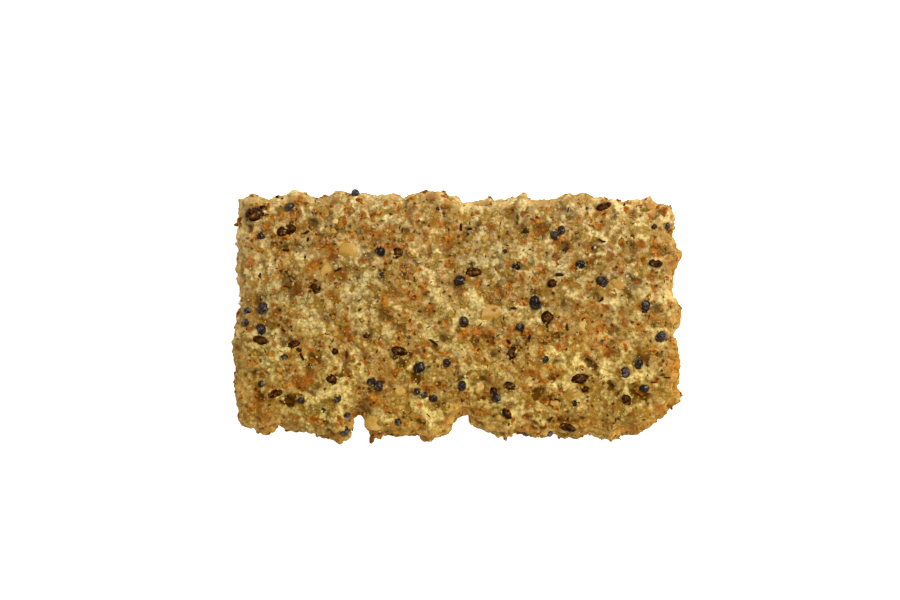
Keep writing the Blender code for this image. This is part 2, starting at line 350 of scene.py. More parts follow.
def grown(obj, tree, values):
    """obj with a tree run on it: each named input is set by its identifier first."""
    modifier = obj.modifiers.new(tree.name, "NODES")
    modifier.node_group = tree
    for item in tree.interface.items_tree:
        if item.in_out == "INPUT" and item.name in values:
            modifier[item.identifier] = values[item.name]
    obj.update_tag()
    return made_plain(obj)


def srgb(red, green, blue):
    """A colour as read off the photo's scale of 0 to 255, made linear."""
    shares = (value / 255 for value in (red, green, blue))
    return tuple(s / 12.92 if s <= 0.04045 else ((s + 0.055) / 1.055) ** 2.4 for s in shares)


def new_material(name):
    """A new material and a wire to start others from."""
    material = bpy.data.materials.new(name)
    material.use_nodes = True
    return material, Wire(material.node_tree)


def finished(material, sockets, kind="Principled BSDF"):
    """This material or world, with these sockets of its shader set or linked."""
    shader = material.node_tree.nodes[kind]
    for name, value in sockets.items():
        if isinstance(value, Wire):
            value.tree.links.new(value.socket, shader.inputs[name])
        else:
            shader.inputs[name].default_value = value
    return material


RELIEF = {
    "Lump Size": 1.15 * MM,
    "Lump Height": 0.75 * MM,
    "Pit Size": 2.1 * MM,
    "Pit Depth": 0.9 * MM,
    "Crumb Size": 0.75 * MM,
    "Crumb Height": 0.34 * MM,
    "Grit Size": 0.42 * MM,
    "Grit Height": 0.26 * MM,
    "Pore Size": 1.0 * MM,
    "Pore Depth": 0.55 * MM,
    "Ceiling": cad_box[1][2] - 0.1 * MM,
}


def dough_relief():
    """Small lumps, soft pits and grit along the surface, less on the underside."""
    kinds = {**dict.fromkeys(RELIEF, "NodeSocketFloat"), "Material": "NodeSocketMaterial"}
    tree, given = new_tree("dough relief", kinds)
    place = given.node("GeometryNodeInputPosition")
    normal = given.node("GeometryNodeInputNormal")
    facing = normal.axes().out("Z")
    clear = place.axes().out("Z").ramp(0.05 * MM, 0.7 * MM, 0.10, 1.0)
    broad = clear * facing.ramp(0.2, 0.8, 0.55, 1.0)
    fine = clear * facing.ramp(0.2, 0.8, 1.25, 1.0)
    wall = given.math("ABSOLUTE", facing).ramp(0.3, 0.8, 1.0, 0.0)

    def per_metre(title):
        return given.math("DIVIDE", 1.0, given.out(title))

    def size_noise(title, start, detail, stretch=(1, 1, 1)):
        spots = given.node(
            "ShaderNodeVectorMath",
            {"operation": "MULTIPLY_ADD"},
            {0: place, 1: stretch, 2: (start, 0, 0)},
        )
        return given.node(
            "ShaderNodeTexNoise", {}, {"Vector": spots, "Scale": per_metre(title), "Detail": detail}
        )

    lumps = size_noise("Lump Size", 0.3, 2.0) - 0.5
    pits = size_noise("Pit Size", 0.7, 2.5).ramp(0.50, 0.82)
    crumbs = given.node(
        "ShaderNodeTexVoronoi",
        {"feature": "SMOOTH_F1"},
        {"Vector": place, "Scale": per_metre("Crumb Size")},
    )
    grit = size_noise("Grit Size", 1.1, 3.0) - 0.5
    pores = size_noise("Pore Size", 1.9, 2.0, (1, 1, 2)).ramp(0.52, 0.70)
    raised = (
        (lumps * given.out("Lump Height") - pits * given.out("Pit Depth")) * broad
        + ((0.45 - crumbs) * given.out("Crumb Height") + grit * given.out("Grit Height")) * fine
        - pores * given.out("Pore Depth") * wall * clear
    )
    offset = normal.scaled(raised)
    split = given.node("ShaderNodeVectorMath", {"operation": "ADD"}, {0: place, 1: offset}).axes()
    level = given.math("MAXIMUM", split.out("Z"), BELT_GAP)
    level = given.math("MINIMUM", level, given.out("Ceiling"))
    kept = given.node(
        "ShaderNodeCombineXYZ", {}, {"X": split.out("X"), "Y": split.out("Y"), "Z": level}
    )
    stored = given.out(0)
    for name, value in (("relief", raised), ("wall", wall)):
        stored = given.node(
            "GeometryNodeStoreNamedAttribute",
            {},
            {"Geometry": stored, "Name": name, "Value": value},
        )
    placed = given.node("GeometryNodeSetPosition", {}, {"Geometry": stored, "Position": kept})
    finish_tree(given, placed)
    return tree


def dough_colour(start, spots, relief, rich, near):
    """Pale khaki crumb of small grains, gold and brown where it holds more bran."""
    patch = start.noise(start.shifted(spots, (0.4, 0, 0)), 1.3 * MM, 4.0, 0.6)
    grain = start.noise(start.shifted(spots, (0, 0.9, 0)), 0.36 * MM, 4.0, 0.7)
    fine = start.noise(start.shifted(spots, (0, 0, 1.7)), 0.15 * MM, 2.0, 0.6)
    cell = start.cells(grain.out("Color").bent(spots, 0.3 * MM), 0.38 * MM)
    shade = start.node("ShaderNodeSeparateColor", {}, {"Color": cell.out(1)})
    base = patch.ramp(0.45, 0.57).mix(srgb(212, 190, 129), srgb(144, 115, 46))
    base = (rich * 0.8).mix(base, srgb(138, 99, 34))
    base = shade.out(0).ramp(0.55, 1.0, 0.0, 0.45).mix(base, srgb(209, 184, 130))
    base = shade.out(1).ramp(0.6, 1.0, 0.0, 0.50).mix(base, srgb(118, 80, 19))
    base = cell.out(0).ramp(0.42, 0.75, 0.0, 0.40).mix(base, srgb(96, 64, 14))
    base = grain.ramp(0.32, 0.48, 0.5, 0.0).mix(base, srgb(90, 58, 10))
    base = fine.ramp(0.58, 0.74, 0.0, 0.36).mix(base, srgb(216, 194, 142))
    base = fine.ramp(0.26, 0.40, 0.42, 0.0).mix(base, srgb(82, 52, 12))
    # Painted shade: the dough darker down in its pits, and more so towards the near side.
    painted_pit_shade = relief.ramp(-0.42 * MM, 0.04 * MM, 1.0, 0.0) * near.ramp(0.0, 1.0, 0.66, 1.0)
    base = painted_pit_shade.mix(base, srgb(78, 48, 4))
    return base, grain


def bran_in_dough(start, spots, base, rich, size, share, pale, deep):
    """Bran under a skin of dough: soft patches of about this size, more of them where rich is 1."""
    sway = start.noise(start.shifted(spots, (0, size, 0)), 0.7 * size, 3.0)
    bent = sway.out("Color").bent(spots, 0.9 * size)
    cell = start.cells(start.shifted(bent, (7 * size, 0, size)), size)
    pick = start.node("ShaderNodeSeparateColor", {}, {"Color": cell.out(1)})
    chosen = start.math("GREATER_THAN", pick.out(0) + 0.35 * rich, 1.0 - share)
    soft = cell.out(0).ramp(0.20, 0.52, 1.0, 0.0)
    mottle = start.noise(start.shifted(spots, (0, 0, size)), 0.25 * size, 3.0, 0.7)
    colour = mottle.ramp(0.40, 0.60).mix(pick.out(1).mix(pale, deep), deep)
    return (chosen * soft * mottle.ramp(0.25, 0.45, 0.45, 0.92)).mix(base, colour)


def dough_material():
    material, start = new_material("baked dough")
    spots = start.object_spots()
    relief = start.attribute("relief")
    rich = start.noise(start.shifted(spots, (0.7, 0, 0)), 3.0 * MM, 2.0).ramp(0.38, 0.62)
    split = spots.axes()
    near = split.out("Y").ramp(-16 * MM, 14 * MM, 1.0, 0.0)
    base, grain = dough_colour(start, spots, relief, rich, near)
    for size, share, pale, deep in (
        (1.8 * MM, 0.40, srgb(186, 118, 39), srgb(106, 58, 12)),
        (0.9 * MM, 0.22, srgb(190, 122, 46), srgb(114, 62, 14)),
        (0.55 * MM, -0.06, srgb(86, 42, 12), srgb(40, 18, 5)),
    ):
        base = bran_in_dough(start, spots, base, rich, size, share, pale, deep)
    low = split.out("Z").ramp(0.2 * MM, 2.0 * MM, 0.35, 0.0)
    base = low.mix(base, srgb(134, 88, 28))
    # The sides of the slab darker towards the belt, in a grainy pattern.
    darker_wall_foot = split.out("Z").ramp(0.4 * MM, 4.0 * MM, 0.60, 0.10)
    darker_wall_foot = start.attribute("wall") * darker_wall_foot * grain.ramp(0.38, 0.62, 1.4, 0.2)
    base = darker_wall_foot.mix(base, srgb(128, 80, 24))
    # Paler along the outline: partly the paler broken crumb, partly painted light that the white
    # table bounces into the thin edge and that shines through it. Orange-gold towards the right end
    # and the near side.
    golden = split.out("X").ramp(14 * MM, 24 * MM, 0.0, 0.5) + near * 0.6
    paler_edge_and_rim_light_colour = golden.mix(srgb(226, 194, 124), srgb(216, 146, 64))
    rim = start.attribute("rim") * golden.ramp(0.0, 1.0, 0.24, 0.34)
    # The broad places of SHADES then make the dough darker or paler.
    base = rim.mix(base, paler_edge_and_rim_light_colour).scaled(1.0 + start.attribute("shade"))
    base = start.node(
        "ShaderNodeMix",
        {"data_type": "RGBA", "blend_type": "MULTIPLY"},
        {0: near, 6: base, 7: (0.92, 0.88, 0.60)},
        output=2,
    )
    sockets = {
        "Base Color": base,
        "Roughness": grain.ramp(0.3, 0.7, 0.38, 0.58),
        "Normal": start.bump(grain, 1.0, 0.16 * MM),
        "Subsurface Weight": 0.25,
        "Subsurface Scale": 0.6 * MM,
        "Subsurface Radius": (1.0, 0.6, 0.25),
        "Specular IOR Level": 0.0,
    }
    return finished(material, sockets)


dough = dough_material()
crumb = slab_of_dough()
shape_slab(crumb)
grown(crumb, dough_relief(), {**RELIEF, "Material": dough})
rim = np.empty(len(crumb.data.vertices))
crumb.data.attributes["rim"].data.foreach_get("value", rim)
underside = crumb.vertex_groups.new(name="underside")
underside.add(
    [
        vertex.index
        for vertex in crumb.data.vertices
        if vertex.co.z < UNDERSIDE_TOP and rim[vertex.index] < UNDERSIDE_RIM
    ],
    1.0,
    "REPLACE",
)
thin = crumb.modifiers.new("fewer faces below", "DECIMATE")
thin.ratio = UNDERSIDE_KEPT
thin.vertex_group = underside.name
thin.vertex_group_factor = 1000.0
made_plain(crumb)
for vertex in crumb.data.vertices:
    vertex.co.z = max(vertex.co.z, BELT_GAP)
crumb.data.shade_smooth()
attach(crumb, "root")
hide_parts("bar")


# The poppy seeds. Small blue-black kidneys with a net of fine ridges, stirred into the batter, so
# some lie on the top, some are half sunk, and some show in the broken edge and below.

POPPY_SPOTS = (
    # x, y and length in millimetres, and the share that is sunk in the dough
    (-18.6, 12.0, 1.0, 0.25), (-21.8, 8.6, 1.0, 0.65), (-11.5, 13.8, 0.95, 0.2),
    (-21.5, 0.5, 1.22, 0.3), (-23.3, 0.3, 1.0, 0.4), (-8.5, 6.9, 1.1, 0.2), (-8.3, 4.2, 0.67, 0.5),
    (-2.1, 11.7, 0.5, 0.7), (0.4, 3.6, 1.2, 0.2), (6.6, 5.2, 1.0, 0.6), (0.8, -1.0, 1.15, 0.2),
    (11.0, 8.7, 1.0, 0.3), (11.7, 9.3, 0.95, 0.3), (13.9, 5.5, 1.1, 0.2), (16.3, 3.5, 1.4, 0.15),
    (8.8, 1.2, 1.4, 0.2), (21.0, 0.8, 1.15, 0.2), (23.6, 9.9, 0.85, 0.4), (-21.7, -1.8, 1.15, 0.3),
    (-23.4, -1.0, 0.9, 0.6), (-19.1, -5.0, 0.8, 0.55), (-21.6, -7.9, 0.75, 0.4),
    (-17.1, -9.8, 0.9, 0.6), (-14.7, -10.9, 0.6, 0.5), (-12.1, -11.4, 0.8, 0.4),
    (-12.4, -13.1, 1.0, 0.4), (-9.4, -7.7, 1.0, 0.3), (-8.6, -8.2, 1.15, 0.25),
    (7.1, -1.6, 1.0, 0.3), (-4.1, -6.1, 1.3, 0.15), (-1.1, -5.6, 1.0, 0.3), (0.6, -8.2, 1.0, 0.25),
    (4.4, -9.5, 1.0, 0.55), (-4.4, -8.8, 0.75, 0.4), (-3.6, -9.2, 0.8, 0.35),
    (-2.6, -9.5, 0.95, 0.25), (-6.5, -12.2, 0.9, 0.55), (22.7, -2.7, 1.25, 0.2),
    (18.7, -6.7, 1.15, 0.2), (20.2, -5.8, 1.05, 0.3), (9.8, -5.3, 0.9, 0.6),
    (20.8, -8.5, 1.0, 0.25), (13.1, -10.1, 0.7, 0.6), (-13.1, -9.6, 0.8, 0.4),
    (20.9, 0.0, 0.6, 0.5), (5.4, 6.9, 0.6, 0.55),
)
POPPY_ELSEWHERE = 46
POPPY_RIDGE = 0.05  # height of the net of ridges, as a share of a seed's length
POPPY_HEIGHT = 0.42  # half of a seed's height, as a share of its length
POPPY_GROWTH = 1.13  # a seed's length, as a share of the length that shows in the dough
BELOW = 0.3 * MM  # places lower than this lie on the underside
FOOT = 1.0 * MM  # height of the foot of the sides
CLEAR_SIDE = 2.8 * MM  # seeds in the sides lie lower than this,
CLEAR_FAR_SIDE = 1.2 * MM  # and lower still on the far side
BELT_REACH = 0.25 * MM  # faces lower than this touched the belt
STEEP = 0.35  # faces whose normals rise less than this belong to the sides


def spot_on_top(x, y):
    """Place and smoothed normal of the crumb's top under this point, in millimetres."""
    start = Vector((x * MM, y * MM, 3 * THICKNESS))
    for _ in range(20):
        hit, place, normal, _ = crumb.ray_cast(start, Vector((0, 0, -1)))
        if hit and place.z > 0.55 * THICKNESS:
            break
        start.xy *= 0.992  # a point past the broken edge moves in until it meets the top
    return place, (0.5 * Vector((0, 0, 1)) + 0.5 * normal).normalized()


def face_samples():
    """Corners, areas and normals of the crumb's triangles, to draw places from."""
    mesh = crumb.data
    mesh.calc_loop_triangles()
    corners = np.empty(len(mesh.loop_triangles) * 3, np.int32)
    mesh.loop_triangles.foreach_get("vertices", corners)
    triangles = points_of(mesh)[corners.reshape(-1, 3)]
    cross = np.cross(triangles[:, 1] - triangles[:, 0], triangles[:, 2] - triangles[:, 0])
    area = np.linalg.norm(cross, axis=1)
    return triangles, area, cross / np.maximum(area, 1e-20)[:, None]


TRIANGLES, AREAS, NORMALS = face_samples()


def drawn_spots(draw, count, top=1.0, side=1.0, under=0.3, clear=False):
    """Places on the crumb drawn by area: top, side and under weigh its three kinds of face. With
    clear, the upper part of the sides, the outline from the camera, and their foot stay free."""
    middle = TRIANGLES.mean(axis=1)
    weight = np.where(NORMALS[:, 2] > STEEP, top, side)
    weight = np.where((NORMALS[:, 2] < -STEEP) | (middle[:, 2] < BELT_REACH), under, weight)
    chance = weight * AREAS
    chosen = draw.choice(len(chance), size=count, p=chance / chance.sum())
    shares = draw.dirichlet((1, 1, 1), size=count)
    places = (TRIANGLES[chosen] * shares[:, :, None]).sum(axis=1)
    inside, _ = from_edge(places[:, :2], OUTLINE)
    spots = []
    for place, normal, depth in zip(places, NORMALS[chosen], inside):
        if abs(normal[2]) > 0.5:
            plain = Vector((0, 0, math.copysign(1, normal[2])))
        else:
            plain = Vector((normal[0], normal[1], 0)).normalized()
        if place[2] < BELT_REACH:
            plain = Vector((0, 0, -1))
        highest = CLEAR_FAR_SIDE if plain.y > 0.3 else CLEAR_SIDE
        foot = place[2] < FOOT and (place[2] > BELT_REACH or depth < FOOT)
        if clear and (place[2] > highest or foot):
            continue
        spots.append((Vector(place), (0.6 * plain + 0.4 * Vector(normal)).normalized()))
    return spots


def standing(normal, heading, pitch=0.0, roll=0.0):
    """The turn of a piece that stands on this normal, in radians."""
    turn = (
        normal.to_track_quat("Z", "Y").to_matrix()
        @ Matrix.Rotation(heading, 3, "Z")
        @ Matrix.Rotation(pitch, 3, "Y")
        @ Matrix.Rotation(roll, 3, "X")
    )
    return turn.to_euler()


def tossed(draw, normal, *leans):
    """The turn of a piece with any heading, its pitch and roll drawn with these spreads."""
    return standing(normal, draw.uniform(0, math.tau), *(draw.normal(0, lean) for lean in leans))


def heading_on_top(normal, heading):
    """The turn about this normal that points a piece along heading as seen from above."""
    stand = normal.to_track_quat("Z", "Y").to_matrix()
    aim = stand.inverted() @ Vector((math.cos(heading), math.sin(heading), 0))
    return math.atan2(aim.y, aim.x)


def planting_tree():
    """Puts one of the patterns at each point, with the point's own size and turn."""
    tree, given = new_tree(
        "planted", {"Patterns": "NodeSocketCollection", "Material": "NodeSocketMaterial"}
    )
    patterns = given.node(
        "GeometryNodeCollectionInfo",
        {},
        {"Collection": given.out("Patterns"), "Separate Children": True, "Reset Children": True},
    )

    def named(name, kind):
        return given.node("GeometryNodeInputNamedAttribute", {"data_type": kind}, {"Name": name})

    turn = given.node("FunctionNodeEulerToRotation", {}, {"Euler": named("turn", "FLOAT_VECTOR")})
    planted = given.node(
        "GeometryNodeInstanceOnPoints",
        {},
        {
            "Points": given.out(0),
            "Instance": patterns,
            "Pick Instance": True,
            "Instance Index": named("pattern", "INT"),
            "Rotation": turn,
            "Scale": named("size", "FLOAT_VECTOR"),
        },
    )
    finish_tree(given, planted)
    return tree


PLANTING = planting_tree()


def planted(name, patterns, spots, draw, material, crisp=180):
    """One mesh of all these spots: each is (place, turn, size of three sides, tone). Edges that
    turn by more than crisp degrees stay sharp, and nothing reaches below the belt."""
    folder = bpy.data.collections.new(name + " patterns")
    for pattern in patterns:
        folder.objects.link(pattern)
    mesh = bpy.data.meshes.new(name)
    mesh.from_pydata([spot[0] for spot in spots], [], [])
    chosen = draw.integers(0, len(patterns), len(spots)).astype(np.int32)
    for title, kind, part, values in (
        ("turn", "FLOAT_VECTOR", "vector", [tuple(spot[1]) for spot in spots]),
        ("size", "FLOAT_VECTOR", "vector", [spot[2] for spot in spots]),
        ("tone", "FLOAT", "value", [spot[3] for spot in spots]),
        ("pattern", "INT", "value", chosen),
    ):
        data = mesh.attributes.new(title, kind, "POINT").data
        data.foreach_set(part, np.array(values).ravel())
    piece = bpy.data.objects.new(name, mesh)
    scene.collection.objects.link(piece)
    grown(piece, PLANTING, {"Patterns": folder, "Material": material})
    for pattern in patterns:
        bpy.data.objects.remove(pattern)
    bpy.data.collections.remove(folder)
    for vertex in piece.data.vertices:
        vertex.co.z = max(vertex.co.z, 0.0)
    piece.data.shade_smooth()
    piece.data.set_sharp_from_angle(angle=math.radians(crisp))
    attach(piece, "root")
    return piece


def object_of(name, form):
    """A new object with this form as its mesh."""
    mesh = bpy.data.meshes.new(name)
    form.to_mesh(mesh)
    form.free()
    return bpy.data.objects.new(name, mesh)


def ball_pattern(name, detail, moved):
    """A ball one unit across, with each of its points put where moved says."""
    form = bmesh.new()
    bmesh.ops.create_icosphere(form, subdivisions=detail, radius=0.5)
    for vertex in form.verts:
        vertex.co = moved(vertex.co.copy())
    return object_of(name, form)


def poppy_pattern(number):
    """A kidney one unit long, with a net of ridges over it."""

    def moved(spot):
        x, y, z = spot
        gaps, _ = noise.voronoi(spot * 4.6 + Vector((9.0 * number, 0, 0)))
        ridge = math.exp(-(((gaps[1] - gaps[0]) / 0.22) ** 2))
        swell = 1.0 + POPPY_RIDGE * (ridge - 0.4)
        swell += 0.16 * noise.noise(spot * 2.2 + Vector((0, 6.0 * number, 0)))
        dent = 0.08 * math.exp(-((x / 0.20) ** 2)) * max(0.0, 2 * y)
        return Vector((x, 0.88 * y - dent + 0.14 * x * x, 0.84 * z)) * swell

    return ball_pattern(f"poppy pattern {number}", 3, moved)


def poppy_material():
    material, start = new_material("poppy seed")
    spots = start.object_spots()
    tone = start.attribute("tone")
    net = start.cells(spots, 0.19 * MM, "DISTANCE_TO_EDGE").ramp(0.02, 0.22, 1.0, 0.0)
    cloud = start.noise(spots, 0.6 * MM, 3.0)
    bloom_and_painted_highlight = start.noise(start.shifted(spots, (0, 3.1, 0)), 0.45 * MM, 2.0, 0.6)
    base = tone.mix(srgb(8, 3, 2), srgb(24, 14, 10))
    base = (cloud.ramp(0.4, 0.7) * 0.5).mix(base, srgb(24, 9, 1))
    base = (net * tone.ramp(0.0, 1.0, 0.1, 0.4)).mix(base, srgb(84, 60, 38))
    # Grey patches on the seeds: partly their own bloom, partly painted highlights.
    base = (bloom_and_painted_highlight.ramp(0.54, 0.64) * 0.6).mix(base, srgb(116, 110, 102))
    sockets = {
        "Base Color": base,
        "Roughness": cloud.ramp(0.3, 0.7, 0.10, 0.30),
        "Normal": start.bump(net, 1.0, 0.08 * MM),
        "Specular IOR Level": 0.34,
        "Specular Tint": (1.0, 0.90, 0.86, 1.0),
    }
    return finished(material, sockets)


draw = np.random.default_rng(41)
poppy_spots = []
for x, y, length, sunk in POPPY_SPOTS:
    place, normal = spot_on_top(x, y)
    size = POPPY_GROWTH * length * MM
    place = place + normal * size * POPPY_HEIGHT * (0.35 - 1.2 * sunk)
    turn = tossed(draw, normal, 0.3, 0.4)
    poppy_spots.append((place, turn, (size, size, size), draw.uniform(0, 1) ** 1.5))
for place, normal in drawn_spots(draw, POPPY_ELSEWHERE, top=0.0, under=0.8, clear=True):
    size = draw.uniform(0.95, 1.25) * MM
    sunk = 0.62 if place.z < BELOW else draw.uniform(0.80, 1.0)
    if normal.y < -0.3:
        sunk = max(sunk, 0.92)  # the camera sees what stands out of the near side
    place = place + normal * size * POPPY_HEIGHT * (0.4 - 1.25 * sunk)
    place.z = max(place.z, 0.41 * size)
    turn = tossed(draw, normal, 0.4, 0.4)
    poppy_spots.append((place, turn, (size, size, size), draw.uniform(0, 1) ** 1.5))
planted("poppy_seeds", [poppy_pattern(i) for i in range(4)], poppy_spots, draw, poppy_material())


# The brown seeds. Smooth flat ovals with a mottled dark skin, half pressed into the dough.

BROWN_SPOTS = (
    # x, y, length and width in millimetres, and the way that the seed points in degrees
    (-22.5, 11.1, 2.2, 1.6, 15), (-18.6, 9.4, 1.5, 1.25, 20), (-19.5, 9.2, 1.2, 1.2, 80),
    (-15.7, 2.7, 2.1, 1.3, 115), (-6.6, 6.8, 1.4, 1.25, 30), (1.9, 4.5, 1.9, 1.15, 0),
    (16.6, 12.2, 1.9, 0.95, 30), (22.4, 5.6, 2.2, 1.0, 8), (10.7, 3.3, 1.2, 1.0, 20),
    (10.2, -0.4, 1.8, 1.5, 70), (-21.8, -3.1, 1.7, 1.1, -10), (-18.0, -3.5, 1.6, 1.0, 25),
    (-20.0, -9.0, 1.8, 0.9, 15), (-18.5, -10.3, 0.9, 0.6, -20), (-13.8, -7.5, 1.35, 1.05, -40),
    (-10.0, -2.5, 0.75, 0.7, 0), (-6.3, -4.3, 1.9, 1.0, -12), (6.2, -4.5, 1.7, 1.3, 60),
    (5.7, -8.2, 1.8, 1.1, -8), (4.1, -8.8, 1.0, 0.9, 90), (5.6, -11.3, 1.4, 1.0, -50),
    (13.7, -7.3, 2.0, 1.2, 5), (14.3, -8.5, 0.85, 0.8, 0), (18.8, -9.8, 1.35, 1.05, -70),
    (12.3, -12.8, 2.0, 1.0, -15), (22.1, 9.7, 0.75, 0.7, 0), (7.8, 9.2, 0.9, 0.8, 20),
    (-17.5, -4.2, 0.7, 0.7, 0), (-13.5, -4.3, 0.9, 0.8, 0), (-21.6, 11.9, 0.9, 0.5, -25),
)
BROWN_ELSEWHERE = 24
DEEP_BROWN = 0.42  # the deepest that a brown seed's middle is sunk, as a share of its thickness


def brown_pattern(number):
    """An egg-shaped oval one unit long and one wide, a little uneven."""

    def moved(spot):
        x, y, z = spot
        lump = noise.noise(spot * 2.4 + Vector((5.0 * number, 0, 0)))
        dimple = noise.noise(spot * 7.0 + Vector((0, 3.0 * number, 0)))
        taper = 1.0 - 0.28 * x
        return Vector((x, y * taper, z * taper)) * (1 + 0.12 * lump + 0.06 * dimple)

    return ball_pattern(f"brown pattern {number}", 3, moved)


def brown_material():
    material, start = new_material("brown seed skin")
    spots = start.object_spots()
    tone = start.attribute("tone")
    cloud = start.noise(spots, 0.4 * MM, 4.0, 0.65)
    bent = cloud.out("Color").bent(spots, 0.4 * MM)
    veins = start.cells(bent, 0.36 * MM, "DISTANCE_TO_EDGE").ramp(0.02, 0.22, 1.0, 0.0)
    base = tone.mix(srgb(14, 4, 0), srgb(34, 14, 1))
    base = (veins * cloud.ramp(0.42, 0.58) * 0.6).mix(base, srgb(92, 48, 9))
    base = cloud.ramp(0.5, 0.72, 0.0, 0.7).mix(base, srgb(18, 5, 1))
    # Pale streaks: partly the skin's own tan mottle, partly painted highlights.
    streak = start.noise(start.shifted(spots, (0, 2.3, 0)), 0.34 * MM, 3.0, 0.6)
    base = (streak.ramp(0.58, 0.67) * 0.55).mix(base, srgb(150, 104, 50))
    sockets = {
        "Base Color": base,
        "Roughness": cloud.ramp(0.35, 0.65, 0.14, 0.34),
        "Normal": start.bump(cloud, 0.9, 0.09 * MM),
        "Specular IOR Level": 0.11,
        "Specular Tint": (1.0, 0.58, 0.26, 1.0),
    }
    return finished(material, sockets)


draw = np.random.default_rng(17)
brown_spots = []
for x, y, length, width, heading in BROWN_SPOTS:
    place, normal = spot_on_top(x, y)
    size = (length * MM, width * MM, min(0.7 * width, 0.85) * MM)
    place = place + normal * size[2] * draw.uniform(-0.15, 0.02)
    turn = standing(normal, heading_on_top(normal, math.radians(heading)), draw.normal(0, 0.12))
    brown_spots.append((place, turn, size, draw.uniform(0, 1) ** 1.4))
for place, normal in drawn_spots(draw, BROWN_ELSEWHERE, top=0.0, under=0.7, clear=True):
    length = draw.uniform(1.5, 2.2) * MM
    size = (length, 0.66 * length, 0.5 * length)
    sunk = DEEP_BROWN if place.z < BELOW else draw.uniform(0.2, DEEP_BROWN)
    if normal.y < -0.3:
        sunk = DEEP_BROWN
    place = place - normal * size[2] * sunk
    place.z = max(place.z, 0.55 * size[1])
    turn = tossed(draw, normal, 0.2)
    brown_spots.append((place, turn, size, draw.uniform(0, 1) ** 1.4))
planted("brown_seeds", [brown_pattern(i) for i in range(4)], brown_spots, draw, brown_material())


# The bran flakes. Thin curled scales of the grain's orange skin, milled small: most lie along the
# surface with their rims under a skin of dough.

FLAKE_SPOTS = (
    # x, y and length in millimetres
    (-21.2, 12.0, 1.2), (-19.4, 10.9, 1.1), (-20.6, 10.9, 0.8), (-12.9, 10.1, 1.8),
    (-14.9, 7.6, 1.3), (-10.5, 11.1, 0.9), (-9.5, 10.9, 1.0), (-6.6, 11.7, 1.2), (-8.5, 11.1, 1.0),
    (-3.1, 7.4, 1.4), (15.9, 9.9, 1.9), (18.9, 11.7, 1.2), (18.8, 10.1, 0.9), (18.5, 7.9, 1.2),
    (18.5, 5.5, 1.2), (8.7, 3.6, 1.3), (23.2, 11.5, 1.4), (23.3, 3.9, 1.3), (-20.4, 4.1, 1.3),
    (-20.5, -4.8, 0.9), (-22.5, -10.7, 1.2), (-15.8, -11.9, 1.7), (-12.9, -12.1, 1.3),
    (-16.7, -7.8, 1.3), (-16.2, -4.2, 0.8), (-1.2, -1.1, 1.2), (14.2, -0.6, 1.4),
    (18.7, -3.9, 1.1), (16.5, -4.5, 1.2), (21.8, -4.3, 1.2),
)
FLAKE_COUNT = 900


def flake_pattern(name, draw, sides, width, thick, bend):
    """A curled scale one unit long. Its attribute rim is 1 round its edge and 0 inside."""
    form = bmesh.new()
    rim = form.verts.layers.float.new("rim")
    radii = [draw.uniform(0.27, 0.52) for _ in range(sides)]

    def ring(share, height):
        made = []
        for i, radius in enumerate(radii):
            angle = math.tau * (i + 0.5) / sides
            x = share * radius * math.cos(angle) * 1.15
            y = share * radius * math.sin(angle) * width
            made.append(form.verts.new((x, y, height + bend * (x * x - 0.08) - 0.3 * bend * y)))
        return made

    edge = ring(1.0, 0.0)
    for vertex in edge:
        vertex[rim] = 1.0
    above = ring(0.80, thick / 2)
    below = ring(0.80, -thick / 2)
    for vertex in above + below:
        vertex[rim] = 0.4
    top = form.verts.new((0, 0, thick / 2 - 0.08 * bend))
    bottom = form.verts.new((0, 0, -thick / 2 - 0.08 * bend))
    for i in range(sides):
        j = (i + 1) % sides
        form.faces.new((edge[i], edge[j], above[j], above[i]))
        form.faces.new((above[i], above[j], top))
        form.faces.new((edge[j], edge[i], below[i], below[j]))
        form.faces.new((below[j], below[i], bottom))
    return object_of(name, form)


def bran_material(name, light, pale, deep, dark, dough_share):
    """Bran with a hue of its own on each flake, paler where its rim runs under the dough."""
    material, start = new_material(name)
    spots = start.object_spots()
    tone = start.attribute("tone")
    rim = start.attribute("rim")
    streak = start.noise(start.shifted(spots, (0, 0, 0), (1, 2.2, 1)), 0.3 * MM, 3.0, 0.6)
    mottle = start.noise(spots, 0.5 * MM, 3.0, 0.6)
    base = tone.mix(pale, deep)
    base = streak.ramp(0.45, 0.75, 0.0, 0.65).mix(base, dark)
    base = streak.ramp(0.25, 0.42, 0.5, 0.0).mix(base, light)
    under = mottle.ramp(0.44, 0.60) * 0.8 + rim * mottle.ramp(0.30, 0.55) * 0.9
    base = (under * dough_share).ramp(0.0, 1.0).mix(base, srgb(164, 122, 40))
    sockets = {
        "Base Color": base,
        "Roughness": streak.ramp(0.3, 0.7, 0.35, 0.6),
        "Normal": start.bump(streak, 0.5, 0.06 * MM),
        "Specular IOR Level": 0.08,
        "Specular Tint": (1.0, 0.72, 0.44, 1.0),
        "Subsurface Weight": 0.1,
        "Subsurface Scale": 0.3 * MM,
        "Subsurface Radius": (1.0, 0.6, 0.3),
    }
    return finished(material, sockets)


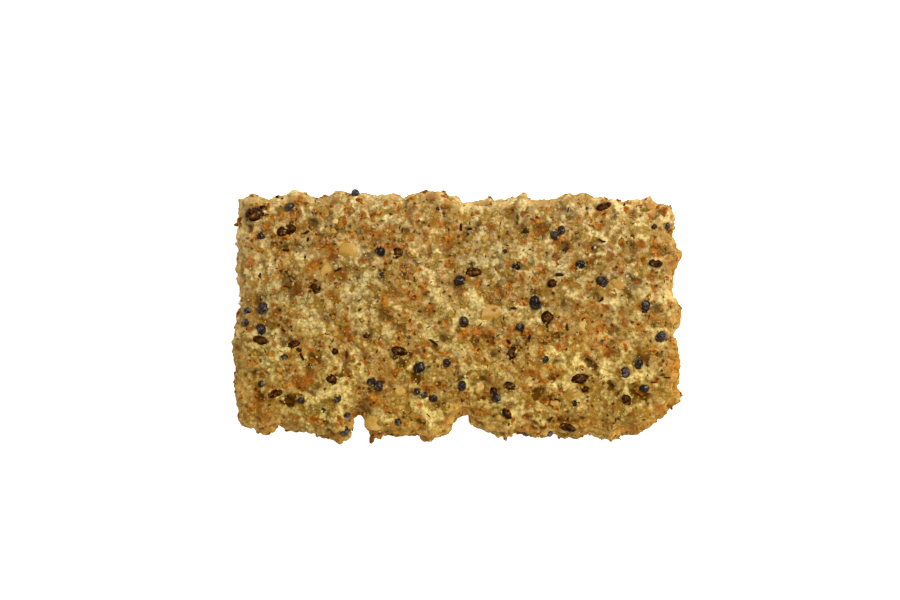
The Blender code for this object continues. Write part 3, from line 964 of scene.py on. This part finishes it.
draw = np.random.default_rng(5)
flake_spots = []
for x, y, length in FLAKE_SPOTS:
    place, normal = spot_on_top(x, y)
    size = length * MM
    turn = tossed(draw, normal, 0.2, 0.2)
    flake_spots.append((place + normal * 0.05 * MM, turn, (size, size, size), draw.uniform(0, 0.6)))
for place, normal in drawn_spots(draw, FLAKE_COUNT, side=1.1, under=0.7):
    size = (0.5 + 1.3 * draw.beta(1.5, 2.8)) * MM
    turn = tossed(draw, normal, 0.3, 0.3)
    lift = draw.uniform(-0.20, 0.0) * MM
    if place.z < BELOW:
        turn = tossed(draw, normal)
        lift = -0.06 * MM
    flake_spots.append((place + normal * lift, turn, (size, size, 0.8 * size), draw.uniform(0, 1)))
planted(
    "bran_flakes",
    [
        flake_pattern(f"flake {i}", draw, 8, draw.uniform(0.5, 0.95), 0.10, draw.uniform(-0.6, 0.7))
        for i in range(10)
    ],
    flake_spots,
    draw,
    bran_material(
        "orange bran", srgb(158, 91, 19), srgb(132, 66, 7), srgb(96, 43, 5), srgb(62, 25, 3), 0.54
    ),
    crisp=35,
)


# The bran slivers. The same skin seen on edge, and splinters of darker husk: thin, dark red to
# brown, some of them almost black.

SLIVER_SPOTS = (
    # x, y and length in millimetres
    (-19.1, 7.1, 0.9), (-16.6, 8.3, 0.6), (-16.7, 9.1, 0.9), (-16.9, 6.3, 0.4), (-13.2, 4.9, 1.2),
    (-21.9, 4.2, 0.8), (6.4, 0.5, 1.1), (-2.6, -3.2, 1.6), (15.2, 7.3, 1.3), (16.3, 8.1, 1.0),
    (12.3, 7.2, 0.9), (16.2, 1.6, 0.9), (11.5, 4.2, 1.0), (-17.1, -5.0, 1.1), (-12.2, -4.7, 1.3),
    (12.3, -1.6, 0.9), (10.4, -11.9, 0.9), (0.5, 9.7, 1.0), (1.5, 9.5, 0.9), (5.8, -3.2, 0.9),
    (10.1, -1.5, 0.8), (8.1, -2.9, 0.8),
)
SLIVER_COUNT = 420
SLIVER_WIDTH = 2.2 * MM  # of the listed ones, before their pattern narrows them

draw = np.random.default_rng(23)
sliver_spots = []
for x, y, length in SLIVER_SPOTS:
    place, normal = spot_on_top(x, y)
    turn = standing(normal, draw.normal(0, 0.5), draw.normal(0, 0.1), draw.normal(0, 0.5))
    size = (length * MM, SLIVER_WIDTH, SLIVER_WIDTH)
    sliver_spots.append((place + normal * 0.04 * MM, turn, size, 0.9))
for place, normal in drawn_spots(draw, SLIVER_COUNT, under=0.6):
    length = (0.3 + 0.8 * draw.beta(1.5, 3.5)) * MM
    wide = draw.uniform(0.7, 1.2) * MM
    turn = tossed(draw, normal, 0.2, 0.5)
    lift = draw.uniform(-0.03, 0.05) * MM
    if place.z < BELOW:
        turn = tossed(draw, normal)
        lift = -0.05 * MM
    sliver_spots.append((place + normal * lift, turn, (length, wide, wide), draw.uniform(0, 1)))
planted(
    "bran_slivers",
    [
        flake_pattern(
            f"sliver {i}", draw, 6, draw.uniform(0.16, 0.26), 0.10, draw.uniform(-0.4, 0.4)
        )
        for i in range(6)
    ],
    sliver_spots,
    draw,
    bran_material(
        "dark bran", srgb(96, 44, 9), srgb(72, 28, 4), srgb(37, 12, 2), srgb(26, 9, 2), 0.05
    ),
    crisp=35,
)


# The cracked grain. Yellow, half clear bits of the grain's heart, with flat broken faces, and the
# fine grit of the same that makes the crumb look sandy.

GRAIN_SPOTS = (
    # x, y, length and width in millimetres, and the way that the bit points in degrees
    (-12.2, 6.8, 2.8, 2.1, -8), (3.6, 0.0, 2.9, 2.1, 10), (-9.2, -12.3, 2.4, 2.1, 75),
    (17.9, 3.1, 2.0, 1.4, -35), (18.7, -3.7, 1.9, 1.3, 20), (14.1, -1.5, 1.7, 1.2, 110),
    (-6.2, -8.8, 1.4, 1.1, 0), (2.7, -8.5, 1.5, 1.1, 40), (-14.6, 4.7, 1.8, 1.2, 60),
    (11.1, -10.1, 2.1, 1.6, 0),
)
GRAIN_COUNT = 50
GRIT_COUNT = 3600


def grain_pattern(name, draw, detail, flat):
    """A broken bit one unit across, its sides cut by a few flat planes."""
    cuts = [(Vector(draw.normal(size=3)).normalized(), draw.uniform(0.26, 0.42)) for _ in range(7)]

    def moved(spot):
        for way, reach in cuts:
            over = spot.dot(way) - reach
            if over > 0:
                spot -= over * way
        spot.z *= flat
        return spot

    return ball_pattern(name, detail, moved)


def grain_material(name, pale, deep):
    material, start = new_material(name)
    spots = start.object_spots()
    tone = start.attribute("tone")
    cloud = start.noise(spots, 0.9 * MM, 4.0, 0.6)
    grain = start.noise(spots, 0.18 * MM, 3.0, 0.6)
    base = tone.mix(pale, deep)
    base = cloud.ramp(0.4, 0.65, 0.0, 0.6).mix(base, srgb(150, 108, 38))
    base = grain.ramp(0.54, 0.72, 0.0, 0.5).mix(base, srgb(200, 168, 90))
    sockets = {
        "Base Color": base,
        "Roughness": cloud.ramp(0.3, 0.7, 0.40, 0.55),
        "Normal": start.bump(grain, 0.3, 0.05 * MM),
        "Specular IOR Level": 0.25,
        "Subsurface Weight": 0.3,
        "Subsurface Scale": 0.6 * MM,
        "Subsurface Radius": (1.0, 0.7, 0.3),
    }
    return finished(material, sockets)


draw = np.random.default_rng(8)
grain_spots = []
for x, y, length, width, heading in GRAIN_SPOTS:
    place, normal = spot_on_top(x, y)
    size = (length * MM, width * MM, 0.8 * MM)
    turn = standing(normal, heading_on_top(normal, math.radians(heading)))
    grain_spots.append((place - normal * 0.1 * MM, turn, size, draw.uniform(0, 0.6)))
for place, normal in drawn_spots(draw, GRAIN_COUNT):
    size = draw.uniform(0.6, 1.2) * MM
    turn = tossed(draw, normal, 0.3, 0.3)
    lift = -0.55 * size if place.z < BELOW else draw.uniform(-0.35, -0.1) * size
    grain_spots.append((place + normal * lift, turn, (size, size, size), draw.uniform(0, 1)))
planted(
    "cracked_grain",
    [grain_pattern(f"grain {i}", draw, 3, 0.8) for i in range(6)],
    grain_spots,
    draw,
    grain_material("grain heart", srgb(168, 132, 50), srgb(154, 108, 32)),
    crisp=25,
)

grit_spots = []
for place, normal in drawn_spots(draw, GRIT_COUNT, side=0.4, under=0.25):
    size = (0.12 + 0.22 * draw.beta(1.5, 3.0)) * MM
    tone = draw.uniform(0, 1) if normal.z > 0.5 else draw.uniform(0.6, 1)
    turn = standing(normal, draw.uniform(0, math.tau), draw.uniform(0, 3), draw.uniform(0, 3))
    if place.z < BELOW:
        place.z = 0.5 * size
    grit_spots.append((place, turn, (size, 0.8 * size, size), tone))
planted(
    "grain_grit",
    [grain_pattern(f"grit {i}", draw, 1, 1.0) for i in range(5)],
    grit_spots,
    draw,
    grain_material("grain grit", srgb(198, 170, 100), srgb(160, 118, 48)),
)


# The dough's own crumbs. Scraps of batter that dried on the surface, the same dough as the slab.

CRUMB_COUNT = 1800
RIM_CRUMBS = 2  # scraps that hold each seed on the top

draw = np.random.default_rng(77)
crumb_spots = []
for place, normal in drawn_spots(draw, CRUMB_COUNT, side=1.6, under=0.0):
    size = (0.25 + 0.6 * draw.beta(1.4, 3.2)) * MM
    turn = standing(normal, draw.uniform(0, math.tau), draw.uniform(0, 3), draw.uniform(0, 3))
    lift = draw.uniform(-0.35, -0.1) * size
    crumb_spots.append((place + normal * lift, turn, (size, 0.8 * size, 0.7 * size), 0.5))
for x, y, length, *_ in POPPY_SPOTS + BROWN_SPOTS:
    for _ in range(RIM_CRUMBS):
        angle = draw.uniform(0, math.tau)
        reach = draw.uniform(0.40, 0.52) * length
        place, normal = spot_on_top(x + reach * math.cos(angle), y + reach * math.sin(angle))
        size = draw.uniform(0.22, 0.50) * MM
        turn = standing(normal, angle, draw.uniform(0, 3), draw.uniform(0, 3))
        place = place + normal * draw.uniform(0.0, 0.4) * size
        crumb_spots.append((place, turn, (size, 0.8 * size, 0.7 * size), 0.5))


def crumb_pattern(number):
    """A lumpy scrap one unit across."""

    def moved(spot):
        return spot * (1 + 0.55 * noise.noise(spot * 3.1 + Vector((0, 7.0 * number, 0))))

    return ball_pattern(f"crumb {number}", 2, moved)


planted("dough_crumbs", [crumb_pattern(i) for i in range(6)], crumb_spots, draw, dough)


# The green flecks. A few scraps of an olive-green seed coat.

GREEN_SPOTS = (
    # x, y and length in millimetres, and the way that the fleck points in degrees
    (21.1, 11.7, 1.6, 0), (-12.8, -1.3, 2.2, -12), (5.8, 11.5, 0.8, 40), (-14.0, 11.3, 0.9, 60),
    (12.7, 3.7, 0.9, 10), (-17.2, 8.7, 0.7, -50), (16.0, 5.5, 0.8, 20),
)
GREEN_COUNT = 30

draw = np.random.default_rng(3)
green_spots = []
for x, y, length, heading in GREEN_SPOTS:
    place, normal = spot_on_top(x, y)
    turn = standing(normal, heading_on_top(normal, math.radians(heading)))
    size = (length * MM, 1.3 * MM, 0.8 * MM)
    green_spots.append((place + normal * 0.10 * MM, turn, size, draw.uniform(0.5, 1)))
for place, normal in drawn_spots(draw, GREEN_COUNT):
    size = draw.uniform(0.4, 0.9) * MM
    turn = tossed(draw, normal)
    lift = -0.06 * MM if place.z < BELOW else 0.0
    green_spots.append((place + normal * lift, turn, (size, size, size), draw.uniform(0, 1)))
planted(
    "green_flecks",
    [flake_pattern(f"fleck {i}", draw, 7, 0.45, 0.12, 0.2) for i in range(4)],
    green_spots,
    draw,
    bran_material(
        "green husk", srgb(142, 112, 42), srgb(116, 98, 28), srgb(82, 70, 14), srgb(56, 44, 8), 0.4
    ),
)


# The floor, the light and the camera: a white table under a wide soft light, seen from nearly
# straight above.

FLOOR_SIZE = 4.0
ELEVATION = math.radians(82)
DISTANCE = 277.8 * MM
AIM = Vector((-0.72, 1.38, 4.9)) * MM

flat = bmesh.new()
bmesh.ops.create_grid(flat, x_segments=1, y_segments=1, size=FLOOR_SIZE / 2)
floor = object_of("floor", flat)
scene.collection.objects.link(floor)
white, _ = new_material("white table")
sockets = {
    "Base Color": (0.92, 0.92, 0.92, 1.0),
    "Roughness": 0.9,
    "Emission Color": (1.0, 1.0, 1.0, 1.0),
    "Emission Strength": 0.6,
}
floor.data.materials.append(finished(white, sockets))


def add_light(name, place, size, watts):
    """A round soft light at this place, turned to the bar."""
    light = bpy.data.lights.new(name, "AREA")
    light.shape = "DISK"
    light.size = size
    light.energy = watts
    lamp = bpy.data.objects.new(name, light)
    lamp.location = place
    lamp.rotation_euler = (-Vector(place)).to_track_quat("-Z", "Y").to_euler()
    scene.collection.objects.link(lamp)


add_light("wide light", (0.23, 0.19, 0.53), 0.40, 5.19)
add_light("small light", (0.03, -0.10, 0.60), 0.04, 1.8)

world = bpy.data.worlds.new("studio")
world.use_nodes = True
scene.world = finished(world, {"Color": (1, 1, 1, 1), "Strength": 0.11}, "Background")
scene.view_settings.view_transform = "Standard"
scene.view_settings.look = "None"

camera_data = bpy.data.cameras.new("camera")
camera_data.lens = 100
camera_data.clip_start = 0.01
camera = bpy.data.objects.new("camera", camera_data)
way = Vector((0, -math.cos(ELEVATION), math.sin(ELEVATION)))
camera.location = AIM + DISTANCE * way
camera.rotation_euler = (-way).to_track_quat("-Z", "Y").to_euler()
scene.collection.objects.link(camera)
scene.camera = camera
